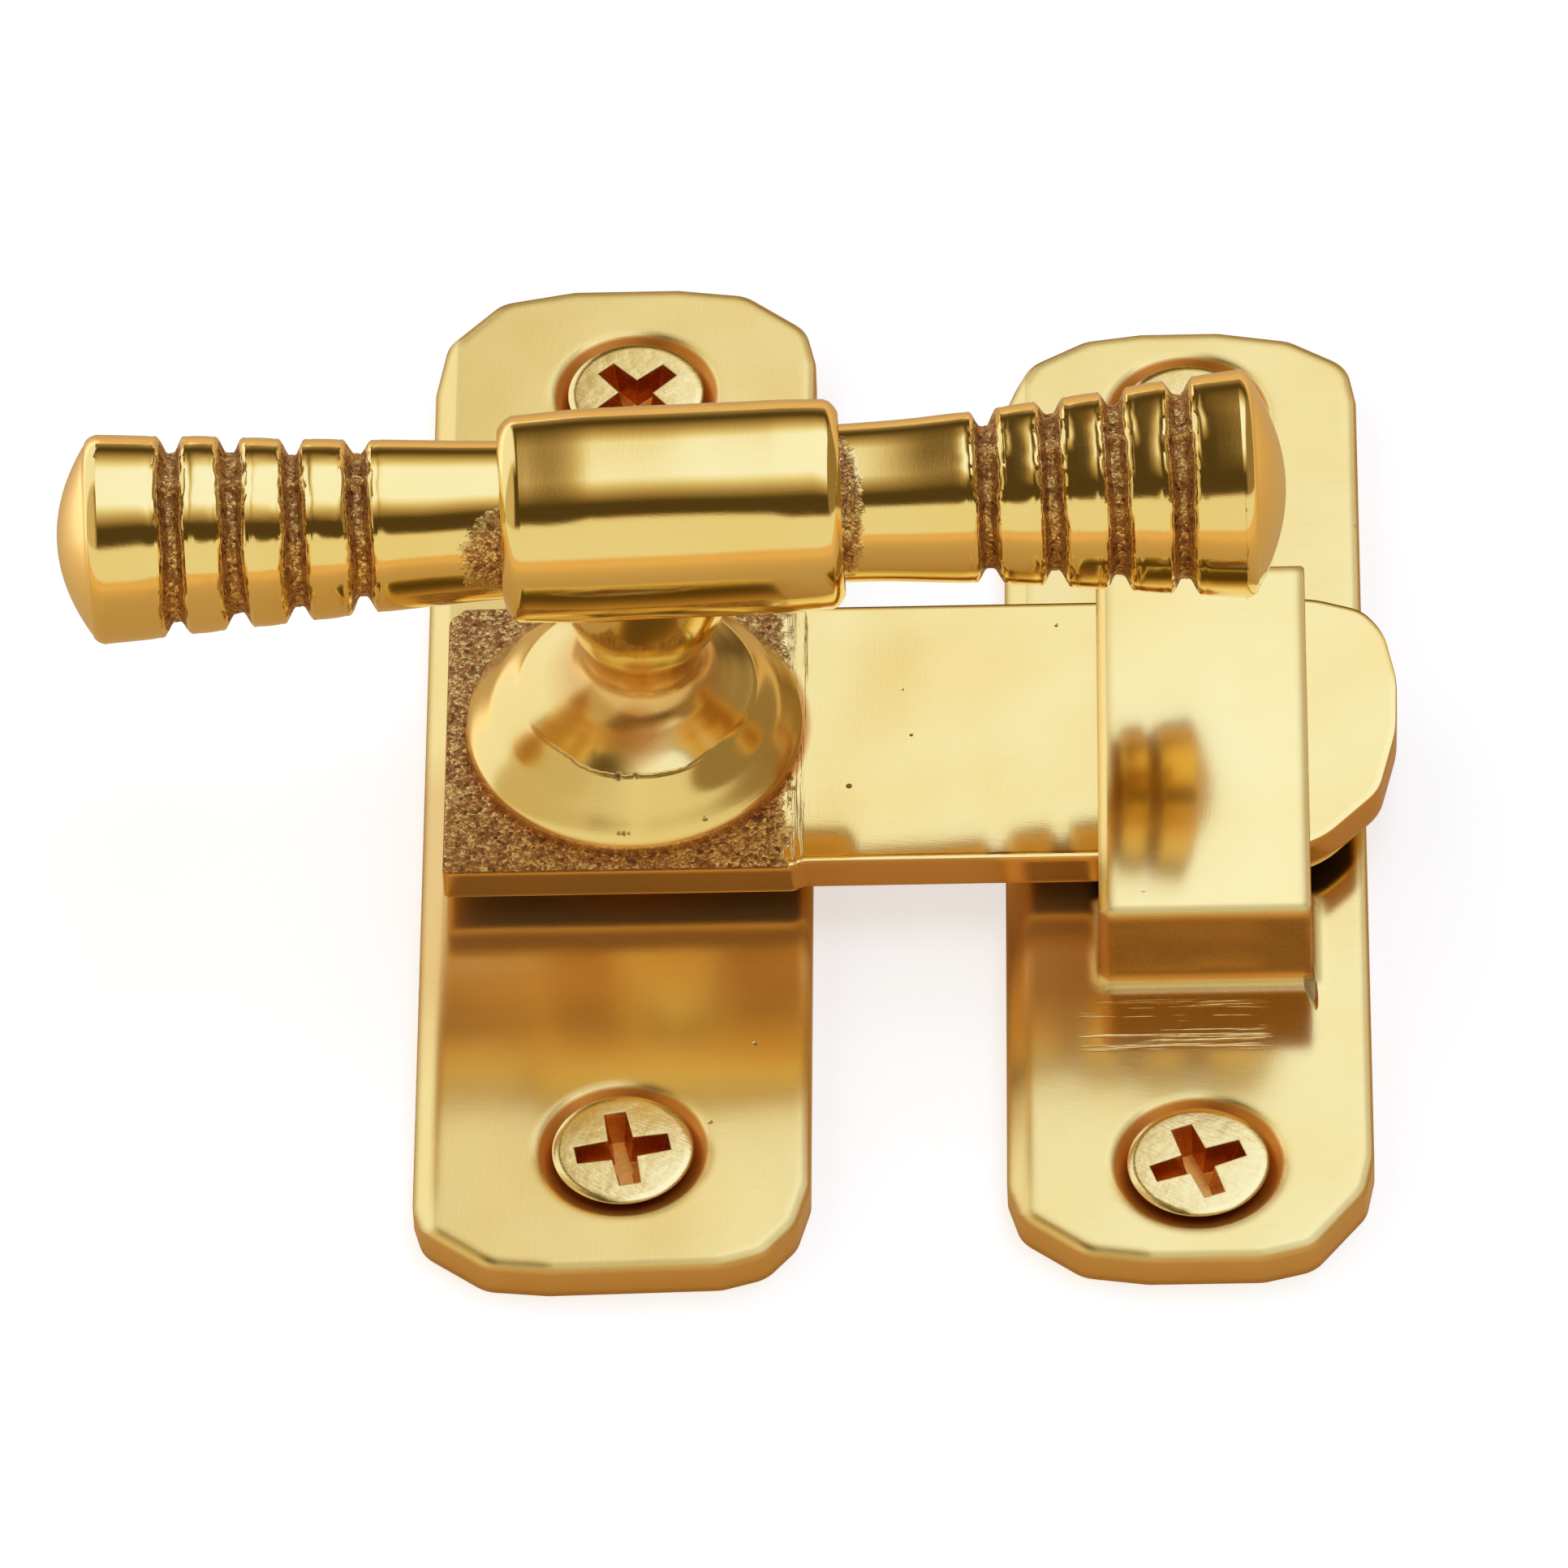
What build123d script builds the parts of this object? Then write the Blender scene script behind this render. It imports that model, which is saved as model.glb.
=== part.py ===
"""Brass shutter bar: two cast plates, a swinging bar with a T-handle, and the hook that the bar drops into.

The plates lie with their backs on Z = 0. +Z points out of their faces, +X from the latch plate to the
keeper, +Y to the open end of the hook. The origin is at the back of the latch plate, midway between its
screws.
"""
import os
from math import asin, cos, radians, sin, tan

from build123d import *

os.makedirs("parts", exist_ok=True)

# Plates
plate_thickness = 2.5
latch_left = -12.3
latch_right = 11.0
latch_height = 79.0
keeper_left = 22.5
keeper_right = 44.0
keeper_height = 74.4
keeper_x = 33.7
keeper_y = -2.2
dressed_width = 1.3
dressed_drop = 0.9
plate_softening = 0.5
corner_softening = 2.2
overcut = 1.0

# Screws, and the holes that they sit in
latch_hole_pitch = 61.0
keeper_hole_pitch = 60.0
clearance_hole_radius = 2.75
countersink_radius = 5.15
countersink_angle = 118.0
screw_head_radius = 4.15
screw_neck_radius = 1.8
screw_thread_radius = 2.1
screw_length = 19.0
screw_point_length = 3.2
recess_span = 5.6
recess_wing = 1.3
recess_depth = 1.9
countersink_drop = (countersink_radius - clearance_hole_radius) / tan(radians(countersink_angle / 2))
head_edge = 0.2
head_chamfer = 0.15
point_radius = 0.25
recess_taper = 12
seat_gap = 0.02
# A head rests on the lower edge of its countersink, which leaves it a little proud of the plate.
head_top = (
    plate_thickness - countersink_drop + screw_head_radius - clearance_hole_radius + head_edge + seat_gap
)

# Bar, and the axis that it swings on
pivot_y = -0.5
pivot_axis = Axis((0, pivot_y, 0), (0, 0, 1))
pivot_section = Plane.XZ.offset(-pivot_y)
bar_gap = 1.4
bar_thickness = 2.4
bar_low = -11.4
bar_high = 9.1
bar_middle = (bar_low + bar_high) / 2
bar_tip = 46.0
tip_length = 7.0
tip_softening = 1.0
top_softening = 0.2
head_left = -10.8
head_right = 10.0
head_margin = 0.35
head_clip = 0.9
bar_under = plate_thickness + bar_gap
bar_top = bar_under + bar_thickness

# Foot and neck under the handle: a steep cone up to a crease, a flatter one, and a waisted neck
foot_x = 0.5
foot_radius = 10.1
foot_rim = 0.9
foot_root = 0.8
rim_top = bar_top + foot_rim
crease_height = 3.0
crease_radius = 7.1
neck_root_height = 4.5
neck_root_radius = 4.2
waist_radius = 3.45
neck_top_radius = 5.3
neck_lean = 1.7

# T-handle
handle_z = 25.1
handle_x = 3.4
handle_turn = 2.4
barrel_radius = 6.3
barrel_half = 10.0
barrel_chamfer = 0.9
arm_inner_radius = 4.65
left_end_radius = 6.2
right_end_radius = 6.8
arm_reach = 36.2
dome_height = 1.9
end_rounding = 0.7
groove_half_width = 0.75
groove_floor_share = 0.45
groove_depth = 0.8
groove_lip = 0.12
left_grooves = (18.3, 22.1, 25.7, 29.3)
right_grooves = (18.6, 22.4, 26.2, 30.0)
seam_turn = 3.0
seam_span = 9.0
seam_drop = 0.25
seam_root_radius = 2.0

# Hook
hook_left = 28.1
hook_right = 40.6
hook_front = -18.3
hook_seat = bar_low - 0.3
hook_tip = 9.6
hook_top = plate_thickness + 6.4
tongue_thickness = 2.2
hook_inner_radius = 0.6
hook_foot_radius = 0.7
hook_front_radius = 0.6
hook_left_chamfer = 0.55
hook_right_radius = 0.25
pick_margin = 0.1

# Rivet and washers
pin_radius = 3.0
pin_clearance = 0.05
pin_top = bar_under + 4.0
pin_chamfer = 0.3
rivet_head_radius = 4.6
rivet_head_height = 1.6
rivet_head_clearance = 0.1
rivet_recess = 0.15
washer_radius = 7.5
washer_thickness = 0.8
washer_chamfer = 0.15
spring_radius = 7.0
spring_thickness = 0.3
washer_bore = pin_radius + 0.15
spring_bottom = plate_thickness + washer_thickness
spring_top = bar_under - 0.03


def wood_screw(x, y, turn):
    """A countersunk wood screw at x, y, its cross recess turned by an angle; Z = 0 is the plate's back."""
    cone_bottom = head_top - head_edge - (screw_head_radius - screw_neck_radius)
    thread_top = -0.1
    tip = head_top - screw_length
    with BuildPart() as screw:
        with BuildSketch(Plane.XZ):
            with BuildLine():
                Polyline(
                    (0, head_top),
                    (screw_head_radius - head_chamfer, head_top),
                    (screw_head_radius, head_top - head_chamfer),
                    (screw_head_radius, head_top - head_edge),
                    (screw_neck_radius, cone_bottom),
                    (screw_neck_radius, thread_top),
                    (screw_thread_radius, thread_top),
                    (screw_thread_radius, tip + screw_point_length),
                    (point_radius, tip),
                    (0, tip),
                    close=True,
                )
            make_face()
        revolve(axis=Axis.Z)
        with BuildSketch(Plane.XY.offset(head_top)):
            Rectangle(recess_span, recess_wing, rotation=turn)
            Rectangle(recess_wing, recess_span, rotation=turn)
            Circle(recess_wing)
        extrude(amount=-recess_depth, taper=recess_taper, mode=Mode.SUBTRACT)
    return screw.part.moved(Location((x, y, 0)))


def screw_hole_cutter():
    """The countersink and clearance hole at the origin, as one solid with its mouth at the plate's face."""
    with BuildPart() as cutter:
        with BuildSketch(Plane.XZ):
            with BuildLine():
                Polyline(
                    (0, -overcut),
                    (clearance_hole_radius, -overcut),
                    (clearance_hole_radius, plate_thickness - countersink_drop),
                    (countersink_radius, plate_thickness),
                    (countersink_radius, plate_thickness + overcut),
                    (0, plate_thickness + overcut),
                    close=True,
                )
            make_face()
        revolve(axis=Axis.Z)
    return cutter.part


def plate_blank(left, right, middle, height, hole_x, hole_pitch, clips):
    """A plate with clipped corners, a dressed left edge and two countersunk holes.

    The clips go round from the lower left corner. Each point of a clip is how far it lies in from the sides.
    """
    low, high = middle - height / 2, middle + height / 2
    corners = ((left, low, 1, 1), (right, low, -1, 1), (right, high, -1, -1), (left, high, 1, -1))
    outline = [
        (x + inward * across, y + upward * along)
        for (x, y, inward, upward), clip in zip(corners, clips)
        for across, along in clip
    ]
    dressed_slope = dressed_drop / dressed_width
    with BuildPart() as blank:
        with BuildSketch() as face:
            with BuildLine():
                Polyline(*outline, close=True)
            make_face()
            fillet(face.vertices(), radius=corner_softening)
        extrude(amount=plate_thickness)
        fillet(blank.faces().sort_by(Axis.Z)[-1].outer_wire().edges(), radius=plate_softening)
        with BuildSketch(Plane.XZ.offset(-high - overcut)):
            with BuildLine():
                Polyline(
                    (left - overcut, plate_thickness + overcut),
                    (left - overcut, plate_thickness - dressed_drop - dressed_slope * overcut),
                    (left + dressed_width + overcut / dressed_slope, plate_thickness + overcut),
                    close=True,
                )
            make_face()
        extrude(amount=height + 2 * overcut, mode=Mode.SUBTRACT)
        with Locations((hole_x, middle + hole_pitch / 2), (hole_x, middle - hole_pitch / 2)):
            add(screw_hole_cutter(), mode=Mode.SUBTRACT)
    return blank.part


# Latch plate: its corners are clipped by hand, each a little differently.
latch_clips = (
    ((0, 5.4), (0.6, 3.2), (4.3, 0.4), (8.0, 0)),
    ((5.2, 0.2), (2.6, 1.0), (0.8, 3.2), (0, 6.2)),
    ((0, 6.4), (0.6, 3.6), (4.3, 0.6), (8.5, 0)),
    ((8.4, 0), (3.9, 0.9), (0.7, 4.4), (0, 8.0)),
)

with BuildPart() as latch_plate:
    add(plate_blank(latch_left, latch_right, 0, latch_height, 0, latch_hole_pitch, latch_clips))
    with BuildSketch(Plane((0, pivot_y, 0))):
        Circle(pin_radius + pin_clearance)
    extrude(amount=plate_thickness, mode=Mode.SUBTRACT)
    with BuildSketch(pivot_section):
        with BuildLine():
            Polyline(
                (0, 0),
                (rivet_head_radius + rivet_head_clearance, 0),
                (rivet_head_radius + rivet_head_clearance, rivet_recess),
                (pin_radius + pin_clearance, rivet_head_height + rivet_recess),
                (0, rivet_head_height + rivet_recess),
                close=True,
            )
        make_face()
    revolve(axis=pivot_axis, mode=Mode.SUBTRACT)

latch_plate.part.label = "latch_plate"
export_step(latch_plate.part, "parts/latch_plate.step")


# Keeper: plate and hook are one casting.
keeper_clips = (
    ((0, 6.2), (0.8, 3.4), (4.4, 0.6), (8.2, 0)),
    ((6.6, 0), (3.6, 0.8), (0.5, 4.9), (0, 7.6)),
    ((0, 6.0), (0.5, 3.0), (4.0, 0.8), (8.4, 0)),
    ((8.4, 0), (5.0, 0.5), (1.6, 2.5), (0, 6.0)),
)

with BuildPart() as keeper:
    add(
        plate_blank(
            keeper_left, keeper_right, keeper_y, keeper_height, keeper_x, keeper_hole_pitch, keeper_clips
        )
    )

    # The hook's side view, drawn in Y and Z and extruded along X
    with BuildSketch(Plane.YZ.offset(hook_left)) as hook_side:
        with BuildLine():
            Polyline(
                (hook_front, plate_thickness - overcut),
                (hook_front, hook_top),
                (hook_tip, hook_top),
                (hook_tip, hook_top - tongue_thickness),
                (hook_seat, hook_top - tongue_thickness),
                (hook_seat, plate_thickness - overcut),
                close=True,
            )
        make_face()
        inner_corner = (hook_left, hook_seat, hook_top - tongue_thickness)
        fillet(hook_side.vertices().sort_by_distance(inner_corner)[0], radius=hook_inner_radius)
    extrude(amount=hook_right - hook_left)
    foot_edges = keeper.edges().filter_by_position(
        Axis.Z, plate_thickness - pick_margin, plate_thickness + pick_margin
    )
    foot_edges = foot_edges.filter_by_position(Axis.X, hook_left - pick_margin, hook_right + pick_margin)
    foot_edges = foot_edges.filter_by_position(Axis.Y, hook_front - pick_margin, hook_seat - pick_margin)
    fillet(foot_edges, radius=hook_foot_radius)
    fillet(keeper.edges().filter_by(Axis.X).group_by(Axis.Z)[-1], radius=hook_front_radius)
    long_top_edges = keeper.edges().filter_by(Axis.Y).group_by(Axis.Z)[-1].sort_by(Axis.X)
    chamfer(long_top_edges[0], length=hook_left_chamfer)
    fillet(long_top_edges[-1], radius=hook_right_radius)

keeper.part.label = "keeper"
export_step(keeper.part, "parts/keeper.step")


# The bar's casting: bar, head, foot, neck and T-handle
def arm_radius(reach, end_radius):
    """The arm's outside radius at a distance from the handle's middle, growing towards its end."""
    share = (reach - barrel_half) / (arm_reach - dome_height - barrel_half)
    return arm_inner_radius + (end_radius - arm_inner_radius) * min(share, 1.0)


def dome_points(end_radius, side):
    """Start, middle and end of the arc that rounds an arm's end, from the handle's axis outwards."""
    rim = end_radius - end_rounding
    ball = (rim * rim + dome_height * dome_height) / (2 * dome_height)
    middle = asin(rim / ball) / 2
    return [
        (side * arm_reach, 0),
        (side * (arm_reach - ball * (1 - cos(middle))), ball * sin(middle)),
        (side * (arm_reach - dome_height), rim),
    ]


def arm_profile(grooves, end_radius, side):
    """Points of an arm's outline from the barrel to its end, as distance along and radius."""
    points = [(barrel_half, arm_inner_radius)]
    for reach in grooves:
        radius = arm_radius(reach, end_radius)
        points.append((reach - groove_half_width, radius - groove_lip))
        points.append((reach - groove_floor_share * groove_half_width, radius - groove_depth))
        points.append((reach + groove_floor_share * groove_half_width, radius - groove_depth))
        points.append((reach + groove_half_width, radius))
    points.append((arm_reach - dome_height - end_rounding, end_radius))
    return [(side * reach, radius) for reach, radius in points]


handle_direction = (cos(radians(handle_turn)), sin(radians(handle_turn)), 0)
handle_front = (sin(radians(handle_turn)), -cos(radians(handle_turn)), 0)
handle_plane = Plane(origin=(handle_x, pivot_y, handle_z), x_dir=handle_direction, z_dir=handle_front)
handle_axis = Axis(handle_plane.origin, handle_direction)
left_points = arm_profile(left_grooves, left_end_radius, -1)
right_points = arm_profile(right_grooves, right_end_radius, 1)
neck_height = handle_z - barrel_radius / 2 - rim_top
# Heights above the rim, and radii, of the rings that the foot's cones and the neck go through
cone_rings = (
    (0, foot_radius - foot_rim / 3),
    (crease_height, crease_radius),
    (neck_root_height, neck_root_radius),
)
neck_rings = (
    (neck_root_height, neck_root_radius),
    (neck_root_height + 1.0, waist_radius),
    (neck_root_height + 2.5, waist_radius + 0.25),
    (neck_root_height + 4.7, neck_top_radius - 0.8),
    (neck_root_height + 7.5, neck_top_radius - 0.2),
    (neck_height, neck_top_radius),
)

with BuildPart() as shutter_bar:
    with BuildSketch(Plane.XY.offset(bar_under)) as bar_outline:
        with BuildLine():
            Polyline(
                (head_left, bar_low - head_margin),
                (head_right, bar_low - head_margin),
                (head_right + 0.6, bar_low),
                (bar_tip - tip_length, bar_low),
                (bar_tip - 4.4, bar_middle - 8.9),
                (bar_tip - 1.2, bar_middle - 5.4),
                (bar_tip - 0.1, bar_middle - 0.6),
                (bar_tip, bar_middle + 3.6),
                (bar_tip - 0.7, bar_middle + 7.4),
                (bar_tip - 1.9, bar_middle + 9.2),
                (bar_tip - 5.0, bar_high),
                (head_right, bar_high),
                (head_right - 0.6, bar_high + head_margin),
                (head_left + head_clip, bar_high + head_margin),
                (head_left, bar_high + head_margin - head_clip),
                close=True,
            )
        make_face()
        tip_corners = bar_outline.vertices().filter_by_position(Axis.X, bar_tip - tip_length, bar_tip)
        fillet(tip_corners, radius=tip_softening)
    extrude(amount=bar_thickness)
    fillet(shutter_bar.faces().sort_by(Axis.Z)[-1].outer_wire().edges(), radius=top_softening)

    # Foot and neck: each ring stands a little further to the right than the one below.
    with BuildSketch(Plane((foot_x, pivot_y, bar_top - foot_root))):
        Circle(foot_radius)
    extrude(amount=foot_root + foot_rim)
    fillet(shutter_bar.edges().filter_by(GeomType.CIRCLE).sort_by(Axis.Z)[-1], radius=foot_rim / 3)
    for rings in (cone_rings, neck_rings):
        for height, radius in rings:
            lean = neck_lean * height / neck_height
            with BuildSketch(Plane((foot_x + lean, pivot_y, rim_top + height))):
                Circle(radius)
        loft(ruled=rings is cone_rings)

    # T-handle, turned about its own length
    with BuildSketch(handle_plane):
        with BuildLine():
            Line((-arm_reach, 0), (arm_reach, 0))
            ThreePointArc(*dome_points(right_end_radius, 1))
            Line(dome_points(right_end_radius, 1)[-1], right_points[-1])
            Polyline(*reversed(right_points))
            Polyline(
                right_points[0],
                (barrel_half, barrel_radius - barrel_chamfer),
                (barrel_half - barrel_chamfer / 2, barrel_radius),
                (-barrel_half + barrel_chamfer, barrel_radius),
                (-barrel_half, barrel_radius - barrel_chamfer),
                left_points[0],
            )
            Polyline(*left_points)
            Line(left_points[-1], dome_points(left_end_radius, -1)[-1])
            ThreePointArc(*dome_points(left_end_radius, -1))
        make_face()
    revolve(axis=handle_axis)

    # The casting seam runs along both arms and bridges their grooves.
    for side, end_radius in ((-1, left_end_radius), (1, right_end_radius)):
        for turn in (seam_turn, seam_turn + 180):
            seam_start = barrel_half - 1
            seam_end = arm_reach - dome_height - 2
            with BuildSketch(handle_plane * Rotation(turn, 0, 0)):
                with BuildLine():
                    Polyline(
                        (side * seam_start, seam_root_radius),
                        (side * seam_start, arm_inner_radius - seam_drop),
                        (side * barrel_half, arm_inner_radius - seam_drop),
                        (side * seam_end, arm_radius(seam_end, end_radius) - seam_drop),
                        (side * seam_end, seam_root_radius),
                        close=True,
                    )
                make_face()
            revolve(axis=handle_axis, revolution_arc=seam_span)

    # Bore for the rivet
    with BuildSketch(Plane((0, pivot_y, bar_under))):
        Circle(pin_radius)
    extrude(amount=pin_top - bar_under, mode=Mode.SUBTRACT)

shutter_bar.part.label = "shutter_bar"
export_step(shutter_bar.part, "parts/shutter_bar.step")


# Rivet: a pin pressed into the bar, headed over at the back of the plate
with BuildPart() as pivot_rivet:
    with BuildSketch(pivot_section):
        with BuildLine():
            Polyline(
                (0, rivet_recess),
                (rivet_head_radius, rivet_recess),
                (pin_radius, rivet_head_height + rivet_recess - pin_clearance),
                (pin_radius, pin_top - pin_chamfer),
                (pin_radius - pin_chamfer, pin_top),
                (0, pin_top),
                close=True,
            )
        make_face()
    revolve(axis=pivot_axis)

pivot_rivet.part.label = "pivot_rivet"
export_step(pivot_rivet.part, "parts/pivot_rivet.step")


with BuildPart() as pivot_washer:
    with BuildSketch(Plane((0, pivot_y, plate_thickness))):
        Circle(washer_radius)
        Circle(washer_bore, mode=Mode.SUBTRACT)
    extrude(amount=washer_thickness)
    chamfer(pivot_washer.faces().sort_by(Axis.Z)[-1].outer_wire().edges(), length=washer_chamfer)

pivot_washer.part.label = "pivot_washer"
export_step(pivot_washer.part, "parts/pivot_washer.step")


# Spring washer: a shallow cone that rests on its outer rim and bears on the bar with its inner one
with BuildPart() as spring_washer:
    with BuildSketch(pivot_section):
        with BuildLine():
            Polyline(
                (washer_bore, spring_top),
                (washer_bore, spring_top - spring_thickness),
                (spring_radius, spring_bottom),
                (spring_radius, spring_bottom + spring_thickness),
                close=True,
            )
        make_face()
    revolve(axis=pivot_axis)

spring_washer.part.label = "spring_washer"
export_step(spring_washer.part, "parts/spring_washer.step")


# The four screws: each has stopped turning at its own angle.
screws = {
    "latch_screw_top": (0, latch_hole_pitch / 2, 42),
    "latch_screw_bottom": (0, -latch_hole_pitch / 2, 10),
    "keeper_screw_top": (keeper_x, keeper_y + keeper_hole_pitch / 2, 65),
    "keeper_screw_bottom": (keeper_x, keeper_y - keeper_hole_pitch / 2, 20),
}
for name, (x, y, turn) in screws.items():
    screw = wood_screw(x, y, turn)
    screw.label = name
    export_step(screw, f"parts/{name}.step")
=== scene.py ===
"""Looks of the brass shutter bar: polished castings, screws, pivot hardware and a plain studio."""
from math import cos, pi, radians, sin, tau

import bmesh
import bpy
from mathutils import Matrix, Vector, noise


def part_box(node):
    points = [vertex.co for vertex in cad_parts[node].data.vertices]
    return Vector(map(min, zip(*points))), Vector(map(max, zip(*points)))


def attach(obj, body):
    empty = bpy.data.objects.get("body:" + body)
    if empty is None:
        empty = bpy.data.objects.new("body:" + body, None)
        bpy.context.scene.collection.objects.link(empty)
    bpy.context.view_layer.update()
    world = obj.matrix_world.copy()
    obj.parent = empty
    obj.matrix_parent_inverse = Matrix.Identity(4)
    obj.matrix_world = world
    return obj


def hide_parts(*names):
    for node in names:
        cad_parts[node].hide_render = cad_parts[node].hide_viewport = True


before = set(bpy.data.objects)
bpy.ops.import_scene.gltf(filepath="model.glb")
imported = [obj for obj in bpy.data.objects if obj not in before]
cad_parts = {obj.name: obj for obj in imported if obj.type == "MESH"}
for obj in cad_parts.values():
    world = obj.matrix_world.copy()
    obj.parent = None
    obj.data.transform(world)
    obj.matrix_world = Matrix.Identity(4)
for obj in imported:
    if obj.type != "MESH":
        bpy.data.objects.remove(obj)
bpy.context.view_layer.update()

bl_info = {
    "name": "Brass Shutter Bar",
    "version": (1, 0, 0),
    "blender": (4, 5, 0),
    "location": "View3D > Sidebar > Shutter Bar",
    "description": "Finishes the castings, screws and pivot of a brass shutter bar, and sets up its studio",
    "category": "Object",
}

MM = 0.001
SMOOTHED_BELOW = radians(38)

# Sizes of the castings, in millimetres, in the frame of the model
PIVOT_Y = -0.5
PLATE_TOP = 2.5
BAR_UNDER = 3.9
BAR_TOP = 6.3
BAR_LOW = -11.4
BAR_HIGH = 9.1
BAR_TIP = 46.0
TIP_LENGTH = 7.0
HEAD_LEFT = -10.8
HEAD_RIGHT = 10.0
HEAD_MARGIN = 0.35
HEAD_CLIP = 0.9
FOOT_X = 0.5
FOOT_RADIUS = 10.1
FOOT_TOP = 7.2
CREASE_HEIGHT = 3.0
CREASE_RADIUS = 7.45
NECK_ROOT = 4.2
WAIST_RADIUS = 3.45
NECK_TOP_RADIUS = 5.3
NECK_LEAN = 1.7
HANDLE_X = 3.4
HANDLE_Z = 25.1
HANDLE_TURN = 2.4
BARREL_HALF = 10.0
BARREL_RADIUS = 6.3
BARREL_CORNER = 0.9
ARM_REACH = 36.2
DOME_HEIGHT = 1.9
END_CORNER = 0.9
END_CORNER_DROP = 0.55
ARM_INNER = 4.65
END_RADII = {-1: 6.2, 1: 6.8}
GROOVES = {-1: (18.3, 22.1, 25.7, 29.3), 1: (18.6, 22.4, 26.2, 30.0)}
GROOVE_HALF = 0.74
GROOVE_DEPTH = 0.92
SEAM_TURN = radians(8)
# Rough skin at each arm's inner end: its length, where it lies round the arm, and how fast it fades
MOULD_SKIN = {-1: (4.2, radians(70), 9), 1: (2.2, radians(50), 3)}
HOLES = {"latch_plate": ((0.0, 30.5), (0.0, -30.5)), "keeper": ((33.7, 27.8), (33.7, -32.2))}
COUNTERSINK_RADIUS = 5.15
HOOK_LEFT = 28.1
HOOK_TOP = 8.9
# Pits and nicks left by the casting on the foot and the bar: where each is, and its radius
MARKS = (
    (-0.25, -7.85, 10.13, 0.3), (0.8, -7.85, 10.13, 0.24), (-0.3, -10.04, 7.5, 0.16),
    (0.0, -10.05, 7.5, 0.2), (0.3, -10.05, 7.5, 0.16), (4.75, -8.95, 7.5, 0.26),
    (13.3, -5.5, BAR_TOP, 0.2), (17.0, -1.5, BAR_TOP, 0.12),
)

# Sizes of the screws, in millimetres
HEAD_RADIUS = 4.15
HEAD_EDGE = 0.2
SHANK_RADIUS = 1.8
THREAD_RADIUS = 2.1
POINT_LENGTH = 3.2
RECESS_SPAN = 5.6
RECESS_WING = 1.3
RECESS_DEPTH = 1.9
SCREWS = ("latch_screw_top", "latch_screw_bottom", "keeper_screw_top", "keeper_screw_bottom")
SCREW_TURNS = (42.0, 10.0, 65.0, 20.0)

# The studio, in metres
FLOOR_HALF = 1.6

# Shades of the studio's light from dark to bright, as shares of LIGHT_SCALE: dim parts are amber
LIGHT_SCALE = 1.8
LIGHT_SHADES = [
    (glow / LIGHT_SCALE, tuple(part / LIGHT_SCALE for part in shade))
    for glow, shade in (
        (0.0, (0.05, 0.032, 0.010)), (0.1, (0.11, 0.075, 0.026)), (0.2, (0.21, 0.145, 0.06)),
        (0.4, (0.41, 0.30, 0.15)), (0.56, (0.57, 0.45, 0.28)), (0.7, (0.70, 0.62, 0.42)),
        (0.8, (0.80, 0.76, 0.56)), (0.9, (0.90, 0.91, 0.80)), (1.0, (1.0, 1.06, 1.15)),
        (1.2, (1.07, 1.26, 1.8)),
    )
]


def wobble(*place):
    """Smooth noise from -1 to 1 at a place."""
    return noise.noise(Vector(place))


def eased(value, low, high):
    """0 below low and 1 above high, with a smooth turn between."""
    share = min(max((value - low) / (high - low), 0.0), 1.0)
    return share * share * (3 - 2 * share)


def curved(points, step):
    """Points about a step apart on the smooth curve through the given points."""
    points = [Vector(point) for point in points]
    ends = [2 * points[0] - points[1], *points, 2 * points[-1] - points[-2]]
    found = []
    for before, start, stop, after in zip(ends, ends[1:], ends[2:], ends[3:]):
        count = max(1, round((stop - start).length / step))
        for number in range(count):
            t = number / count
            found.append(
                start + 0.5 * t * ((stop - before) + t * (2 * before - 5 * start + 4 * stop - after)
                + t * t * (3 * (start - stop) + after - before))
            )
    return [*found, points[-1]]


class Value:
    """A number that varies over a surface. Python's operators on it add Math nodes."""

    def __init__(self, tree, socket):
        self.tree = tree
        self.socket = socket

    def math(self, operation, *operands, clamp=False):
        node = self.tree.nodes.new("ShaderNodeMath")
        node.operation = operation
        node.use_clamp = clamp
        for slot, operand in zip(node.inputs, operands):
            if isinstance(operand, Value):
                self.tree.links.new(operand.socket, slot)
            else:
                slot.default_value = operand
        return Value(self.tree, node.outputs[0])

    def __add__(self, other):
        return self.math("ADD", self, other)

    __radd__ = __add__

    def __sub__(self, other):
        return self.math("SUBTRACT", self, other)

    def __rsub__(self, other):
        return self.math("SUBTRACT", other, self)

    def __mul__(self, other):
        return self.math("MULTIPLY", self, other)

    __rmul__ = __mul__

    def __truediv__(self, other):
        return self.math("DIVIDE", self, other)

    def __pow__(self, other):
        return self.math("POWER", self, other)

    def __abs__(self):
        return self.math("ABSOLUTE", self)

    def least(self, other):
        return self.math("MINIMUM", self, other)

    def most(self, other):
        return self.math("MAXIMUM", self, other)

    def rises(self, low, high):
        """0 below low and 1 above high, with a straight ramp between; high may be the smaller one."""
        return self.math("MULTIPLY", self - low, 1 / (high - low), clamp=True)


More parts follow.
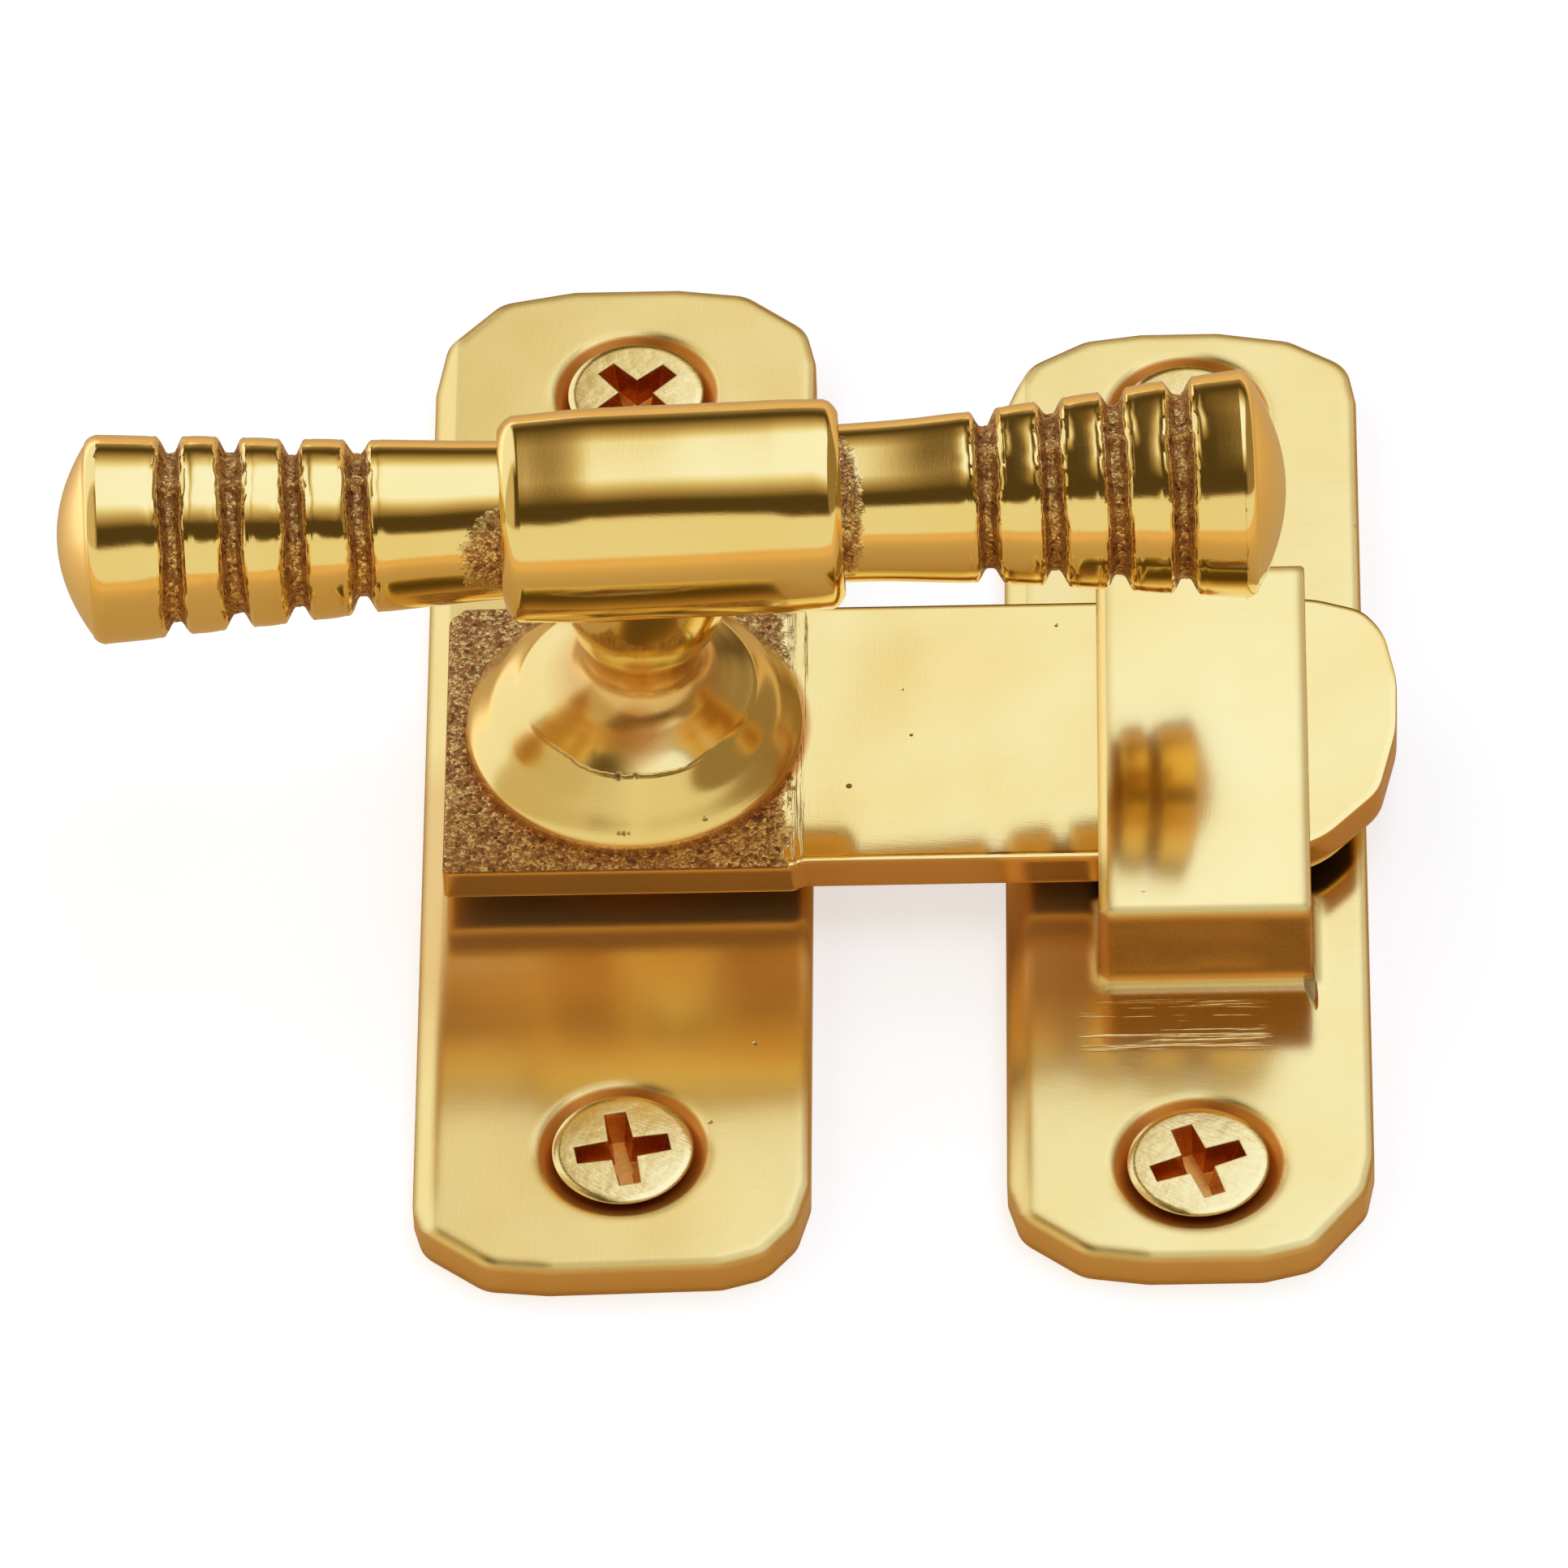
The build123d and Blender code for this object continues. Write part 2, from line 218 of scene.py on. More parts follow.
class Nodes:
    """Adds nodes to one node tree."""

    def __init__(self, tree):
        self.tree = tree
        tree.nodes.clear()

    def node(self, kind, settings=None, sockets=None, output=0):
        """A node of a kind, its settings first and then its sockets; returns one of its outputs."""
        node = self.tree.nodes.new(kind)
        for setting, value in (settings or {}).items():
            if setting == "stops":
                ramp = node.color_ramp.elements
                while len(ramp) < len(value):
                    ramp.new(0.5)
                for stop, (place, colour) in zip(ramp, value):
                    stop.position = place
                    stop.color = (*colour, 1.0)
            else:
                setattr(node, setting, value)
        for slot, value in (sockets or {}).items():
            if isinstance(value, Value):
                self.tree.links.new(value.socket, node.inputs[slot])
            else:
                node.inputs[slot].default_value = value
        return Value(self.tree, node.outputs[output]) if node.outputs else None

    def mix(self, share, first, second):
        """Two colours mixed by a share."""
        if not isinstance(first, Value):
            first = (*first, 1.0)
        if not isinstance(second, Value):
            second = (*second, 1.0)
        return self.node("ShaderNodeMix", {"data_type": "RGBA"}, {0: share, 6: first, 7: second}, output=2)

    def scaled(self, vector, factors):
        """A vector with each part multiplied by its own factor."""
        return self.node("ShaderNodeVectorMath", {"operation": "MULTIPLY"}, {0: vector, 1: factors})

    def grain(self, place, scale, detail=2.0, roughness=0.5):
        """Noise from 0 to 1; its scale is in repeats a millimetre."""
        sockets = {"Vector": place, "Scale": scale, "Detail": detail, "Roughness": roughness}
        return self.node("ShaderNodeTexNoise", {"noise_dimensions": "3D"}, sockets)


class Brass(Nodes):
    """A brass finish: where the point is, in millimetres, and the parts that every finish shares."""

    def __init__(self, name):
        self.material = bpy.data.materials.new(name)
        self.material.use_nodes = True
        super().__init__(self.material.node_tree)
        where = self.node("ShaderNodeTexCoord", output="Object")
        self.place = self.node("ShaderNodeVectorMath", {"operation": "SCALE"}, {0: where, "Scale": 1 / MM})
        self.x = self.node("ShaderNodeSeparateXYZ", sockets={0: self.place}, output="X")
        self.y = self.node("ShaderNodeSeparateXYZ", sockets={0: self.place}, output="Y")
        self.z = self.node("ShaderNodeSeparateXYZ", sockets={0: self.place}, output="Z")
        facing = self.node("ShaderNodeTexCoord", output="Normal")
        self.facing_up = self.node("ShaderNodeSeparateXYZ", sockets={0: facing}, output="Z")

    def around(self, x, y):
        """Distance from an upright axis at x, y."""
        return ((self.x - x) * (self.x - x) + (self.y - y) * (self.y - y)) ** 0.5

    def scratches(self, turn, length=1.2, fineness=9.0):
        """Fine parallel lines that lie at an angle across the face."""
        sockets = {"Vector": self.place, "Angle": radians(turn)}
        turned = self.node("ShaderNodeVectorRotate", {"rotation_type": "Z_AXIS"}, sockets)
        stretched = self.scaled(turned, (1 / length, fineness, fineness))
        return self.grain(stretched, 1.0, detail=3.0, roughness=0.6)

    def pits(self, scale, size):
        """Scattered small pits, 1 in their middles."""
        sockets = {"Vector": self.place, "Scale": scale, "Randomness": 1.0}
        distance = self.node("ShaderNodeTexVoronoi", {"feature": "F1"}, sockets)
        spread = self.grain(self.place, scale * 0.37, detail=1.0)
        return distance.rises(size, size * 0.35) * spread.rises(0.56, 0.66)

    def sand(self, scale):
        """Grains of moulding sand: a height for each point, and one number for each grain."""
        sockets = {"Vector": self.place, "Scale": scale, "Randomness": 1.0}
        height = 1 - self.node("ShaderNodeTexVoronoi", {"feature": "F1"}, sockets)
        number = self.node("ShaderNodeTexVoronoi", {"feature": "F1"}, sockets, "Color")
        return height, self.node("ShaderNodeSeparateXYZ", sockets={0: number}, output="X")

    def spots(self, places):
        """1 inside small round marks, each given by its place and its radius."""
        found = 0.0
        for *place, radius in places:
            sockets = {0: self.place, 1: place}
            away = self.node("ShaderNodeVectorMath", {"operation": "DISTANCE"}, sockets, "Value")
            found = away.rises(radius, radius * 0.4).most(found)
        return found

    def soft_edges(self, radius):
        """The surface's normal, rounded within a radius of each edge."""
        return self.node("ShaderNodeBevel", {"samples": 4}, {"Radius": radius * MM})

    def tilted(self, normal, lean_x, lean_y):
        """A normal, leant a little to the right and to the back."""
        lean = self.node("ShaderNodeCombineXYZ", sockets={"X": lean_x, "Y": lean_y})
        total = self.node("ShaderNodeVectorMath", {"operation": "ADD"}, {0: normal, 1: lean})
        return self.node("ShaderNodeVectorMath", {"operation": "NORMALIZE"}, {0: total})

    def finish(self, colour, roughness, relief, metallic=1.0, depth=0.05, normal=None):
        """Ends the material. Relief is a height as a share of depth, which is in millimetres."""
        sockets = {"Strength": 1.0, "Distance": depth * MM, "Height": relief}
        if normal:
            sockets["Normal"] = normal
        bump = self.node("ShaderNodeBump", {}, sockets, "Normal")
        sockets = {"Base Color": colour, "Roughness": roughness, "Metallic": metallic, "Normal": bump}
        shader = self.node("ShaderNodeBsdfPrincipled", {}, sockets)
        self.node("ShaderNodeOutputMaterial", {}, {"Surface": shader})
        return self.material


def polished(brass, colours, cast, worn, stain_and_painted_shade, dull, normal=None):
    """The finish that the castings share: mirror polish, with the mould's rough skin where cast is 1.

    Worn is 1 where a mark is cut into the polish, the stain share is 1 where the brass has tarnished and
    where shade and dark reflections are painted in orange brown, and dull is added to the roughness of the
    polish.
    """
    pits = brass.pits(0.35, 0.06)
    fine = brass.scratches(8.0)
    crossing = brass.scratches(97.0, length=2.2, fineness=6.0)
    waves = brass.grain(brass.place, 0.1, detail=1.0)
    patches = brass.grain(brass.place, 0.11, detail=3.0)
    height, number = brass.sand(4.0)
    fine_height, fine_number = brass.sand(9.0)
    clumps = brass.grain(brass.place, 0.8, detail=2.0)
    glints = (number * 0.5 + fine_number * 0.5 + clumps * 0.5).rises(0.72, 1.05)
    bright = brass.mix(patches.rises(0.35, 0.7), colours.polished_colour, colours.warm_colour)
    # Tarnish, painted shade and painted reflections, all in the same orange brown
    bright = brass.mix(stain_and_painted_shade, bright, colours.stain_and_painted_shade_colour)
    skin = brass.mix((number + clumps).rises(0.85, 0.4) * 0.85, colours.cast_colour, colours.dirt_colour)
    skin = brass.mix(glints, skin, colours.warm_colour)
    colour = brass.mix(cast, bright, skin)
    colour = brass.mix((pits * 0.75).most(worn * 0.8), colour, colours.dirt_colour)
    roughness = colours.polish + dull + fine.rises(0.55, 0.8) * 0.05 + worn * 0.25 + stain_and_painted_shade * 0.15
    roughness = roughness * (1 - cast) + cast * (0.5 - glints * 0.22)
    relief = waves * 1.5 + (fine + crossing) * 0.02 - pits * 0.8 - worn * 1.6
    relief = relief + cast * (height * 1.2 + number * 0.7 + fine_height * 0.5)
    metallic = 1 - (cast * (1 - glints) * 0.3).most(stain_and_painted_shade * 0.35)
    return brass.finish(colour, roughness, relief, metallic, normal=normal)


def show(node, material):
    """Gives a CAD node its material."""
    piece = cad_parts[node]
    piece.data.materials.clear()
    piece.data.materials.append(material)


class BrassColours(bpy.types.PropertyGroup):
    """Colours and polish of the brass."""

    polished_colour: bpy.props.FloatVectorProperty(
        name="Polished", description="Brass that the polishing wheel has reached", subtype="COLOR",
        size=3, min=0.0, max=1.0, default=(0.91, 0.70, 0.28),
    )
    warm_colour: bpy.props.FloatVectorProperty(
        name="Warm", description="Slightly redder patches of the same brass", subtype="COLOR",
        size=3, min=0.0, max=1.0, default=(0.90, 0.66, 0.235),
    )
    cast_colour: bpy.props.FloatVectorProperty(
        name="As cast", description="Brown skin left by the mould", subtype="COLOR",
        size=3, min=0.0, max=1.0, default=(0.48, 0.20, 0.055),
    )
    dirt_colour: bpy.props.FloatVectorProperty(
        name="Dirt", description="Darkest brown, in pits and between the grains", subtype="COLOR",
        size=3, min=0.0, max=1.0, default=(0.13, 0.052, 0.014),
    )
    # Also the colour of painted shade and painted reflections on walls, in hollows and beside the handle
    stain_and_painted_shade_colour: bpy.props.FloatVectorProperty(
        name="Stain", description="Orange brown tarnish where no cloth reaches", subtype="COLOR",
        size=3, min=0.0, max=1.0, default=(0.72, 0.26, 0.03),
    )
    screw_colour: bpy.props.FloatVectorProperty(
        name="Screws", description="Paler brass of the bought screws", subtype="COLOR",
        size=3, min=0.0, max=1.0, default=(0.93, 0.74, 0.34),
    )
    spring_colour: bpy.props.FloatVectorProperty(
        name="Spring", description="Steel of the spring washer", subtype="COLOR",
        size=3, min=0.0, max=1.0, default=(0.42, 0.40, 0.37),
    )
    polish: bpy.props.FloatProperty(
        name="Polish", description="Roughness of a polished face", subtype="FACTOR",
        min=0.0, max=1.0, default=0.10,
    )


class ScrewSizes(bpy.types.PropertyGroup):
    """Sizes of the wood screws' threads."""

    pitch: bpy.props.FloatProperty(
        name="Pitch", description="Distance from one turn of the thread to the next", unit="LENGTH",
        min=0.0005, default=1.45 * MM,
    )
    core: bpy.props.FloatProperty(
        name="Core radius", description="Radius between the turns of the thread", unit="LENGTH",
        min=0.0005, default=1.45 * MM,
    )
    turns: bpy.props.FloatVectorProperty(
        name="Turns", description="Angles of the cross recesses in degrees, latch plate first", size=4,
        default=SCREW_TURNS,
    )


class StudioSettings(bpy.types.PropertyGroup):
    """Camera and light."""

    azimuth: bpy.props.FloatProperty(
        name="Azimuth", description="Angle of the camera to the right of the front", unit="ROTATION",
        default=radians(2.5),
    )
    elevation: bpy.props.FloatProperty(
        name="Elevation", description="Angle of the camera above the plates", unit="ROTATION",
        default=radians(47.905),
    )
    roll: bpy.props.FloatProperty(
        name="Roll", description="Turn of the camera about its line of sight", unit="ROTATION",
        default=radians(-2.87),
    )
    distance: bpy.props.FloatProperty(
        name="Distance", description="From the camera to the point that it looks at", unit="LENGTH",
        default=945.9 * MM,
    )
    aim: bpy.props.FloatVectorProperty(
        name="Aim", description="Point in the middle of the picture", subtype="TRANSLATION",
        size=3, default=(9.23 * MM, -0.82 * MM, 1.39 * MM),
    )
    lens: bpy.props.FloatProperty(
        name="Lens", description="Focal length on a 36 mm sensor", unit="CAMERA", default=362.6,
    )
    floor_colour: bpy.props.FloatVectorProperty(
        name="Floor", description="Paper under the object", subtype="COLOR",
        size=3, min=0.0, max=1.0, default=(0.72, 0.735, 0.76),
    )
    # Painted reflection: a warm colour that the paper has for every ray but the camera's, so that the brass
    # mirrors it warm
    floor_painted_reflection: bpy.props.FloatVectorProperty(
        name="Floor in brass", description="The same paper as the brass mirrors it", subtype="COLOR",
        size=3, min=0.0, max=1.0, default=(0.60, 0.46, 0.28),
    )


class CastingsOperator(bpy.types.Operator):
    """Finish both plates and the bar as polished castings"""

    bl_idname = "shutterbar.castings"
    bl_label = "Finish Castings"

    def execute(self, context):
        colours = context.scene.shutter_brass
        self.finish_plate("latch_plate", colours)
        self.finish_plate("keeper", colours)
        self.finish_bar(colours)
        return {"FINISHED"}

    def finish_plate(self, node, colours):
        brass = Brass(node + "_brass")
        back = brass.facing_up.rises(-0.5, -0.9)
        sunk = 0.0
        for x, y in HOLES[node]:
            sunk = brass.around(x, y).rises(COUNTERSINK_RADIUS + 0.1, COUNTERSINK_RADIUS).most(sunk)
        sunk = sunk * brass.z.rises(PLATE_TOP - 0.03, PLATE_TOP - 0.15)
        worn = 0.0
        normal = brass.soft_edges(0.9)
        if node == "keeper":
            worn = self.filing_marks(brass)
            # The wheel has left the hook's face crowned: it falls away to the right and to the front
            face = brass.facing_up.rises(0.9, 0.98) * brass.z.rises(HOOK_TOP - 0.3, HOOK_TOP - 0.1)
            normal = brass.tilted(
                normal, face * brass.x.rises(HOOK_LEFT, HOOK_LEFT + 6.0) * 0.165,
                face * brass.y.rises(6.0, -12.0) * -0.11,
            )
        # Painted shade in orange brown on the walls and the hook's post, tarnish with painted shade in the
        # countersinks, and a painted reflection of the handle and the bar in front of the bar and left of the
        # hook
        upright = abs(brass.facing_up).rises(0.7, 0.3)
        walls = upright * (0.35 + brass.z.rises(PLATE_TOP, PLATE_TOP + 0.5) * 0.4)
        # Painted reflection: the handle mirrored in front of the bar, the bar's dark side mirrored left of
        # the hook
        painted_reflection = brass.y.rises(-25.0, -17.0) * brass.y.rises(2.0, -2.0)
        painted_reflection = painted_reflection * brass.x.rises(HOOK_LEFT, HOOK_LEFT - 1.0)
        stain_and_painted_shade = sunk.most(walls).most(painted_reflection * (0.45 if node == "keeper" else 0.3))
        show(node, polished(brass, colours, back, worn, stain_and_painted_shade, 0.05, normal))

    def filing_marks(self, brass):
        """Strokes of the file in front of the hook's post, and the nick that it left beside the post."""
        strokes = brass.grain(brass.scaled(brass.place, (0.09, 2.3, 1.0)), 1.0, detail=3.0, roughness=0.6)
        patch = brass.x.rises(26.6, 28.2) * brass.x.rises(38.4, 36.8) * brass.y.rises(-23.6, -22.6)
        patch = patch * brass.y.rises(-19.2, -19.9) * brass.z.rises(PLATE_TOP - 0.1, PLATE_TOP)
        along = (brass.y + 17.6) * 0.34
        across = (brass.x - 40.35 + along * 0.4) * 2.4
        nick = (across * across + along * along).rises(1.0, 0.55)
        nick = nick * brass.z.rises(PLATE_TOP + 0.6, PLATE_TOP + 0.3)
        return (patch * strokes.rises(0.56, 0.7) * 0.4).most(nick * 0.8)

    def finish_bar(self, colours):
        form = CastForm("bar_casting")
        form.flat_bar()
        form.foot_and_neck()
        form.barrel()
        form.arm(-1)
        form.arm(1)
        casting = form.piece()
        casting.data.materials.append(self.bar_brass(colours))
        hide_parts("shutter_bar")
        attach(casting, "bar")

    def bar_brass(self, colours):
        """The bar's finish: the wheel has reached all but the grooves and the head's corners."""
        brass = Brass("bar_brass")
        left_by_mould = brass.node("ShaderNodeAttribute", {"attribute_name": "as_cast"}, output="Fac")
        ragged = brass.grain(brass.place, 1.7, detail=3.0) - 0.5
        from_foot = brass.around(FOOT_X, PIVOT_Y)
        face = brass.z.rises(BAR_TOP - 0.25, BAR_TOP - 0.1) * brass.z.rises(BAR_TOP + 0.6, BAR_TOP + 0.4)
        corner = from_foot.rises(FOOT_RADIUS - 0.05, FOOT_RADIUS + 0.1)
        corner = corner * (brass.x + ragged * 3.0).rises(9.7, 9.0)
        cast = (left_by_mould + ragged * 0.5).rises(0.35, 0.55).most(corner * face)
        # Marks in the polish: streaks beside the step of the head, a dark line along the crease at the front,
        # and pits
        streaks = brass.grain(brass.scaled(brass.place, (4.0, 0.16, 1.0)), 1.0, detail=3.0).rises(0.52, 0.7)
        step = brass.x.rises(9.2, 9.8) * brass.x.rises(10.9, 10.3) * face
        crease = abs(brass.z - (FOOT_TOP + CREASE_HEIGHT) + ragged * 0.12).rises(0.06, 0.02)
        crease = crease * brass.y.rises(-3.6, -7.0) * brass.x.rises(5.4, 3.0)
        crease = crease * from_foot.rises(CREASE_RADIUS + 0.6, CREASE_RADIUS + 0.4)
        crease = crease * from_foot.rises(6.2, 6.4)
        worn = (streaks * step * 0.45).most(crease * 0.5).most(brass.spots(MARKS))
        # Painted shade round the neck's root, a painted reflection of the handle on the neck's front, painted
        # shade in the corner beside the foot, and painted orange brown shade and reflections on the bar's
        # walls
        painted_root_shade = brass.z.rises(FOOT_TOP + 3.6, FOOT_TOP + 4.6) * brass.z.rises(FOOT_TOP + 8.0, FOOT_TOP + 5.0)
        painted_neck_reflection = brass.spots([(0.8, -5.3, 11.4, 2.6)])
        # Painted shade in the corner where the foot meets the bar
        beside = from_foot.rises(FOOT_RADIUS + 0.5, FOOT_RADIUS + 0.1)
        beside = beside * brass.z.rises(FOOT_TOP, FOOT_TOP - 0.5)
        walls = abs(brass.facing_up).rises(0.5, 0.2) * brass.z.rises(FOOT_TOP, FOOT_TOP - 0.4) * 0.6
        stain_and_painted_shade = (painted_root_shade * 0.4).most(beside * 0.7).most(walls).most(painted_neck_reflection * 0.7)
        # The foot's polish is a little duller
        foot = from_foot.rises(FOOT_RADIUS + 0.2, FOOT_RADIUS) * brass.z.rises(FOOT_TOP - 1.0, FOOT_TOP)
        foot = foot * brass.z.rises(FOOT_TOP + 11.0, FOOT_TOP + 9.0)
        return polished(brass, colours, cast, worn, stain_and_painted_shade, foot * 0.08)


class CastForm:
    """Collects one form's surfaces, in millimetres, with how much of the mould's skin each point keeps."""

    def __init__(self, name):
        self.name = name
        self.points = []
        self.faces = []
        self.cast = []

    def sheet(self, rows):
        """Skin between closed rows of points, the same number in each, with a value of cast at each point."""
        first = len(self.points)
        width = len(rows[0])
        for row in rows:
            for point, cast in row:
                self.points.append(point)
                self.cast.append(cast)
        for i in range(len(rows) - 1):
            for j in range(width):
                a = first + i * width + j
                b = first + i * width + (j + 1) % width
                self.faces.append((a, b, b + width, a + width))

    def turned(self, stations, sides, shape, place):
        """A lathe surface: shape gives height, radius and cast at a station and an angle."""
        rows = []
        for station in stations:
            row = []
            for step in range(sides):
                angle = tau * step / sides
                along, radius, cast = shape(station, angle)
                row.append((place(along, radius, angle), cast))
            rows.append(row)
        self.sheet(rows)

    def on_handle(self, along, radius, angle):
        """A point around the handle's axis; the angle goes from the top towards the front."""
        turn = radians(HANDLE_TURN)
        front = radius * sin(angle)
        return (
            HANDLE_X + along * cos(turn) + front * sin(turn),
            PIVOT_Y + along * sin(turn) - front * cos(turn),
            HANDLE_Z + radius * cos(angle),
        )

    def barrel(self):
        """The handle's plain middle, a little crowned, with worn ends that turn in to the arms."""
        edge = BARREL_HALF
        stations = [-edge, -edge, -edge + 0.02, -edge + 0.15, -edge + 0.4, -edge + 0.8]
        stations += [-edge + 1.2 + 0.4 * step for step in range(44)]
        stations += [edge - 0.8, edge - 0.5, edge - 0.25, edge - 0.08, edge, edge]
        last = len(stations) - 1

        def shape(index, angle):
            along = stations[index]
            radius = BARREL_RADIUS
            radius -= 0.22 * eased(-along, 4.5, edge) + 0.12 * eased(along, 6.0, edge)
            from_end = edge - abs(along)
            if from_end < BARREL_CORNER:
                radius -= 0.75 * (1 - from_end / BARREL_CORNER) ** 2.2
            if index in (0, last):
                radius = ARM_INNER - 0.4
            radius += 0.05 * wobble(along * 0.12, sin(angle), cos(angle) + 3.0)
            shift = 0.16 * wobble(sin(angle) * 1.4, cos(angle) * 1.4, along) * (from_end < 1.0)
            mark = 0.55 if index in (0, 1, last - 1, last) else 0.0
            return along + shift, radius, mark

        self.turned(range(len(stations)), 128, shape, self.on_handle)

    def arm(self, side):
        """One reeded arm: filed grooves with the mould's skin in them, and a domed end."""
        end_radius = END_RADII[side]
        body_end = ARM_REACH - DOME_HEIGHT
        stations = [BARREL_HALF - 0.6]
        while stations[-1] < body_end - END_CORNER:
            near = min(abs(stations[-1] - groove) for groove in GROOVES[side])
            stations.append(stations[-1] + (0.13 if near < 1.5 else 0.3))
        cap_rings = 26
        corner_share = 0.4

        def cap(share, angle):
            """The rounded corner at first, and then the dome."""
            if share <= corner_share:
                bend = share / corner_share * pi / 2
                reach = body_end - END_CORNER + END_CORNER * sin(bend)
                radius = end_radius * (1 - 0.03 * share) - END_CORNER_DROP * (1 - cos(bend))
            else:
                inward = (share - corner_share) / (1 - corner_share)
                reach = body_end + (DOME_HEIGHT - 0.02) * (1 - (1 - inward) ** 2)
                radius = (end_radius - END_CORNER_DROP) * (1 - inward)
            radius *= 1 + 0.008 * wobble(cos(angle) * 1.3, sin(angle) * 1.3, side * 5.0)
            return side * reach, max(radius, 0.0), 0.0

        def shape(index, angle):
            if index >= len(stations):
                return cap((index - len(stations) + 1) / cap_rings, angle)
            up, front = cos(angle), sin(angle)
            reach = stations[index]
            share = (reach - BARREL_HALF) / (body_end - BARREL_HALF)
            share = 0.25 * eased(reach, BARREL_HALF, body_end) + 0.75 * share
            share = max(share, 0.0) ** (1.35 if side > 0 else 1.0)
            radius = ARM_INNER + (end_radius - ARM_INNER) * share
            radius += 0.06 * wobble(up, front, reach * 0.2 + side * 4.0)
            cast = 0.0
            for number, groove in enumerate(GROOVES[side]):
                seed = side * 7.0 + number * 3.1
                middle = groove + 0.16 * wobble(up * 1.2, front * 1.2, seed)
                middle += 0.05 * wobble(up * 6.0, front * 6.0, seed)
                half = GROOVE_HALF + 0.16 * wobble(up * 1.5, front * 1.5, seed + 40.0)
                half += 0.09 * wobble(up * 8.0, front * 8.0, seed + 20.0)
                deep = GROOVE_DEPTH + 0.22 * wobble(up * 2.0, front * 2.0, seed + 60.0)
                from_seam = abs((angle - SEAM_TURN + pi) % tau - pi)
                deep *= 1 - 0.5 * (1 - eased(from_seam, radians(2), radians(7)))
                away = abs(reach - middle) / half
                radius -= 0.06 * (1 - eased(away, 1.0, 2.4)) ** 2
                if away < 1.45:
                    fall = 1 - eased(away, 0.25, 1.15)
                    crust = 0.10 * wobble(reach * 4.0, up * 22.0, front * 22.0 + seed)
                    burr = 0.04 * eased(away, 0.9, 1.15) * (1 - eased(away, 1.15, 1.45))
                    radius -= (deep + crust) * fall - burr
                    cast = max(cast, 1 - eased(away, 0.7, 0.98))
            return side * reach, radius, max(cast, self.mould_skin(side, reach, angle))

        self.turned(range(len(stations) + cap_rings), 144, shape, self.on_handle)

    def mould_skin(self, side, reach, angle):
        """Where an arm's inner end was out of the polishing wheel's reach."""
        length, turn, fade = MOULD_SKIN[side]
        towards_barrel = 1 - eased(reach, BARREL_HALF, BARREL_HALF + length)
        facing = 0.5 + 0.5 * cos(angle - turn)
        return 0.9 * towards_barrel * facing ** fade

    def foot_and_neck(self):
        """Two flat cones that meet in a crease, and a waisted neck that leans to the right."""
        neck_height = HANDLE_Z - BARREL_RADIUS / 2 - FOOT_TOP
        lower = [
            (-1.3, FOOT_RADIUS), (-0.5, FOOT_RADIUS), (-0.2, FOOT_RADIUS - 0.06), (0.0, FOOT_RADIUS - 0.2),
            (0.25, FOOT_RADIUS - 0.39), (0.6, FOOT_RADIUS - 0.68), (1.1, FOOT_RADIUS - 1.1),
            (2.0, CREASE_RADIUS + 0.82), (CREASE_HEIGHT, CREASE_RADIUS),
        ]
        upper = [
            (CREASE_HEIGHT, CREASE_RADIUS), (3.45, CREASE_RADIUS - 1.0), (3.85, CREASE_RADIUS - 1.95),
            (4.25, NECK_ROOT + 0.45), (4.8, NECK_ROOT - 0.2), (5.8, WAIST_RADIUS), (7.2, WAIST_RADIUS + 0.15),
            (9.2, NECK_TOP_RADIUS - 0.8), (12.0, NECK_TOP_RADIUS - 0.2), (neck_height, NECK_TOP_RADIUS),
        ]

        def shape(station, angle):
            height, radius = station
            # The crease is sharp in front only
            aside = 1 - eased(cos(angle), 0.78, 0.95)
            radius -= 0.42 * aside * (1 - eased(abs(height - CREASE_HEIGHT), 0.0, 1.5))
            radius += 0.04 * wobble(sin(angle) * 1.3, cos(angle) * 1.3, height * 0.1)
            radius += 0.03 * wobble(sin(angle) * 0.9, cos(angle) * 0.9, height * 0.3 + 9.0)
            return height, radius, 0.0

        def place(height, radius, angle):
            lean = NECK_LEAN * max(height, 0.0) / neck_height
            return (FOOT_X + lean + radius * sin(angle), PIVOT_Y - radius * cos(angle), FOOT_TOP + height)

        self.turned(curved(lower, 0.22)[:-1] + curved(upper, 0.22), 144, shape, place)

    def flat_bar(self):
        """The bar, its head and its rounded tip, with softly broken edges."""
        middle = (BAR_LOW + BAR_HIGH) / 2
        outline = [
            (HEAD_LEFT, BAR_LOW - HEAD_MARGIN), (HEAD_RIGHT, BAR_LOW - HEAD_MARGIN),
            (HEAD_RIGHT + 0.6, BAR_LOW), (BAR_TIP - TIP_LENGTH, BAR_LOW),
            (BAR_TIP - 4.4, middle - 8.9), (BAR_TIP - 1.2, middle - 5.4),
            (BAR_TIP - 0.1, middle - 0.6), (BAR_TIP, middle + 3.6), (BAR_TIP - 0.7, middle + 7.4),
            (BAR_TIP - 1.9, middle + 9.2), (BAR_TIP - 5.0, BAR_HIGH), (HEAD_RIGHT, BAR_HIGH),
            (HEAD_RIGHT - 0.6, BAR_HIGH + HEAD_MARGIN), (HEAD_LEFT + HEAD_CLIP, BAR_HIGH + HEAD_MARGIN),
            (HEAD_LEFT, BAR_HIGH + HEAD_MARGIN - HEAD_CLIP),
        ]
        levels = (
            (BAR_UNDER, 0.45), (BAR_UNDER, 0.18), (BAR_UNDER + 0.05, 0.05), (BAR_UNDER + 0.18, 0.0),
            (BAR_UNDER + 0.6, 0.0), (BAR_TOP - 0.6, 0.0), (BAR_TOP - 0.26, 0.0), (BAR_TOP - 0.07, 0.07),
            (BAR_TOP, 0.26), (BAR_TOP, 0.45),
        )
        rows = []
        for height, inset in levels:
